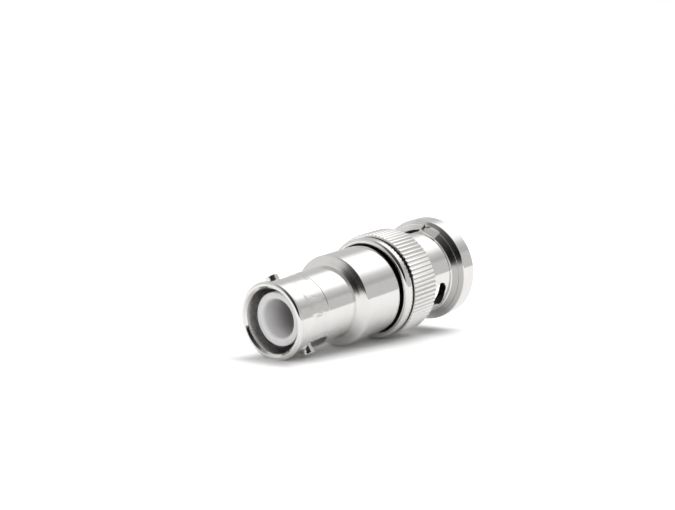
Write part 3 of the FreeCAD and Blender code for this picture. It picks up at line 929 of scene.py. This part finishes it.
PLUG_PIN_RADIUS = 0.675
pin_foot, pin_top, pin_flange = extent("bnc_centre_pin")
plug_pin = turned("plug_pin", gold, [
    (0.0, pin_foot, 0.0),
    (PLUG_PIN_RADIUS / 2, pin_foot, 0.12),
    (PLUG_PIN_RADIUS, pin_foot + PLUG_PIN_RADIUS, 0.15),
    (PLUG_PIN_RADIUS, 10.45, 0.0),
    (1.05, 10.45, 0.04),
    (1.05, 17.00, 0.0),
    (pin_flange, 17.00, 0.04),
    (pin_flange, pin_top, 0.04),
    (0.50, pin_top, 0.0),
    (0.50, 15.35, 0.0),
    (0.0, 15.35, 0.0),
], steps=96)
even_shading(plug_pin, WIDE_STRIP)
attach(plug_pin, "adapter_body")
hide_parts("bnc_centre_pin")

# %% [markdown]
# The plug's outer contact is a thin sleeve slit into four spring fingers, with a
# small bead near their tips that touches the mate. Two blades at right angles make
# all four slits, as a slitting saw does in two passes.

# %% Slit the spring fingers
FINGER_RADIUS = 3.98
finger_tip, tail_top, _ = extent("bnc_contact_sleeve")
fingers = turned("spring_fingers", finger_nickel, [
    (3.50, finger_tip, 0.04),
    (FINGER_RADIUS, finger_tip, 0.02),
    (4.05, finger_tip + 0.07, 0.04),
    (4.05, finger_tip + 0.73, 0.05),
    (FINGER_RADIUS, finger_tip + 0.80, 0.05),
    (FINGER_RADIUS, 11.53, 0.05),
    (3.28, 11.53, 0.0),
    (3.28, tail_top, 0.03),
    (2.80, tail_top, 0.0),
    (2.80, 11.00, 0.03),
    (3.50, 11.00, 0.05),
])
for turn in (0.0, math.pi / 2):
    bm = block((10.0, 0.45, 5.0), (0.0, 0.0, 7.70))
    swing(bm, turn)
    cut(fingers, as_object(bm, "blade", None))
even_shading(fingers)
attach(fingers, "adapter_body")
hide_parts("bnc_contact_sleeve")

# %% [markdown]
# ## Springs
# Two bowed spring washers hold the nut back. When the nut is pulled forward, they
# flatten, which a stiff mesh can't show. Copies of them stand in for the model's
# own, with their doubled points merged.

# %% Copy the springs
SPRINGS = ("spring_washer_front", "spring_washer_rear")
for name in SPRINGS:
    bm = bmesh.new()
    bm.from_mesh(nodes[name].data)
    bmesh.ops.remove_doubles(bm, verts=bm.verts, dist=0.001 * MM)
    spring = as_object(bm, "bowed_" + name, bronze)
    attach(spring, "adapter_body")
    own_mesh(spring)
    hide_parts(name)

# %% [markdown]
# The rest stays as the model has it: hidden rings and washers with true sizes.
# Building them again would add nothing that can be seen, so they only get their
# finishes.

# %% Finish what stays
KEPT = {
    "middle_insulator": white,
    "sealing_gasket": silicone,
    "retaining_ring": bronze,
    "stop_washer": bronze,
    "pressure_washer": bronze,
}
for name, finish in KEPT.items():
    slots = nodes[name].data.materials
    slots.clear()
    slots.append(finish)
print("kept from the model:", ", ".join(KEPT))

# %% [markdown]
# ## Table
# The part lies on a white table that reaches the horizon. Its sheet is drawn from
# above only, so views from under the table still show the part. White card in a
# photograph is lighter than card really is. More lamps would do that, but they would
# bleach the part too, so the camera and the metal see a painted glow on the open
# table. It fades out near the part, which paints a shadow there on top of the real one.

# %% Table
TABLE_DROP = 8.825
SHADOW_INNER = 1.5
SHADOW_OUTER = 7.8
NOSE_END = 33.0
NUT_END = 4.0


def blank(owner):
    """Empties the nodes of a material or a world, and works in them from here on."""
    owner.use_nodes = True
    owner.node_tree.nodes.clear()
    Wire.tree = owner.node_tree
    return owner


def surface(wire, kind="ShaderNodeOutputMaterial"):
    out = Wire.tree.nodes.new(kind)
    Wire.tree.links.new(wire.socket, out.inputs["Surface"])


def mixed(factor, first, second):
    return Wire.node("ShaderNodeMixShader", inputs={0: factor, 1: first, 2: second})


def seen_by(ray):
    return Wire.node("ShaderNodeLightPath", output=ray)


table_paint = blank(bpy.data.materials.new("table"))
forth = (Vector((0.0, 0.0, 1.0)) - UP * UP.z).normalized()
across = UP.cross(forth)
x, y, z = place_split()
aside = x * across.x + y * across.y + z * across.z
ahead = x * forth.x + y * forth.y + z * forth.z
away = (aside * aside).power(0.5).larger((ahead - NOSE_END) * 1.3).larger(NUT_END - ahead)
outside_painted_shadow = away.ramp(SHADOW_INNER, SHADOW_OUTER)
looks = seen_by("Is Camera Ray").larger(seen_by("Is Glossy Ray") * 0.55)
chalk = Wire.node("ShaderNodeBsdfDiffuse", inputs={"Color": (0.80, 0.80, 0.80, 1.0)})
# Painted light and shadow: the table glows for the camera and the metal, and the glow fades out near the
# part as a painted shadow.
painted_glow = Wire.node("ShaderNodeEmission", inputs={"Strength": looks * outside_painted_shadow * 0.50})
card = Wire.node("ShaderNodeAddShader", inputs={0: chalk, 1: painted_glow})
clear = Wire.node("ShaderNodeBsdfTransparent")
from_below = Wire.node("ShaderNodeNewGeometry", output="Backfacing")
surface(mixed(from_below, card, clear))

bm = bmesh.new()
bmesh.ops.create_grid(bm, x_segments=1, y_segments=1, size=8.0)
table_turn = Matrix((RIGHT, AWAY, UP)).transposed()
bmesh.ops.rotate(bm, verts=bm.verts, cent=(0, 0, 0), matrix=table_turn)
bmesh.ops.translate(bm, verts=bm.verts, vec=UP * (-TABLE_DROP * MM))
mesh = bpy.data.meshes.new("table")
bm.to_mesh(mesh)
bm.free()
mesh.materials.append(table_paint)
table = bpy.data.objects.new("table", mesh)
bpy.context.scene.collection.objects.link(table)
print("table faces", [round(v, 3) for v in mesh.polygons[0].normal])

# %% [markdown]
# ## Studio
# Bright metal shows the room more than itself. The room could be built from cards
# and boxes, but they would show in other views. So it is drawn on the world by
# direction, in azimuth and elevation: 0 is the camera's side and 90 the right.

# %% Directions in the studio
def towards(azimuth, elevation=0.0):
    """A direction in the photograph: azimuth 0 is the camera's side, 90 the right."""
    turn, lift = math.radians(azimuth), math.radians(elevation)
    return (-AWAY * math.cos(turn) + RIGHT * math.sin(turn)) * math.cos(lift) + UP * math.sin(lift)


world = blank(bpy.data.worlds.new("Studio"))
bpy.context.scene.world = world
way = Wire.node("ShaderNodeTexCoord", output="Generated")


def along(direction):
    """How far the way looked runs along a direction."""
    dot = {0: way, 1: tuple(direction)}
    return Wire.node("ShaderNodeVectorMath", {"operation": "DOT_PRODUCT"}, dot, output="Value")


up = along(UP)
level = (1.0 - up * up).larger(0.0001).power(0.5)


def between(azimuth, full, none):
    """One within some degrees of an azimuth, falling to nothing further round."""
    turn = along(towards(azimuth)) / level
    return turn.ramp(math.cos(math.radians(none)), math.cos(math.radians(full)))


def height(rise, full, still, gone):
    """One between two elevations, with soft edges below and above."""
    low, high, flat, end = (math.sin(math.radians(v)) for v in (rise, full, still, gone))
    return up.ramp(low, high) * up.ramp(end, flat)


print("up in the photograph is", [round(v, 3) for v in UP])

# %% [markdown]
# The walls are pale, with a brighter one on the left and a softbox high behind on
# the right, with a grey edge under it. The dark of the room lies round and over the
# camera, which gives the metal its dark bands. The camera itself sees plain white.

# %% Walls, softbox and the dark of the room
left_gap = between(-90, 36, 52) * (1.0 - up.ramp(0.72, 0.85))
dark = (along(-AWAY) + up * 1.1).ramp(0.90, 1.10) * (1.0 - between(138, 30, 60)) * (1.0 - left_gap)
softbox = between(138, 18, 42) * height(30, 46, 58, 72)
grey_edge = between(100, 18, 34) * height(19, 23, 26, 31)
left_wall = between(-105, 36, 58) * height(-5, 3, 38, 54)
walls = 0.80 + left_wall * 0.2 - grey_edge * 0.15
shadowed = 0.018 + up.ramp(0.3, 0.75) * 0.06 + up.ramp(0.7, 0.9) * 0.09
shadowed = shadowed + between(-75, 22, 56) * up.ramp(0.15, 0.4) * 0.14
room = walls * (1.0 - dark) + dark * shadowed + softbox * 1.1

studio = Wire.node("ShaderNodeBackground", inputs={"Strength": room})
backdrop = Wire.node("ShaderNodeBackground", inputs={"Color": (1, 1, 1, 1), "Strength": 1.0})
surface(mixed(seen_by("Is Camera Ray"), studio, backdrop), "ShaderNodeOutputWorld")
print("studio drawn with", len(world.node_tree.nodes), "nodes")

# %% [markdown]
# Three wide lamps, behind, overhead and in front, light the table and the white
# insulator. They are suns, because a sun needs no place and lights all the table
# alike. The metal doesn't show them, because it has the drawn softbox to show.

# %% Lamps
def lamp(name, azimuth, elevation, spread, strength):
    data = bpy.data.lights.new(name, "SUN")
    data.angle = math.radians(spread)
    data.energy = strength
    made = bpy.data.objects.new(name, data)
    bpy.context.scene.collection.objects.link(made)
    made.rotation_mode = "QUATERNION"
    made.rotation_quaternion = towards(azimuth, elevation).to_track_quat("Z", "Y")
    made.visible_glossy = False


lamp("softbox lamp", 138, 55, 60, 0.9)
lamp("overhead lamp", -60, 62, 80, 0.7)
lamp("front lamp", 15, 6, 60, 1.3)
bpy.context.scene.view_settings.view_transform = "Standard"
print("lamps:", [light.name for light in bpy.data.lights])
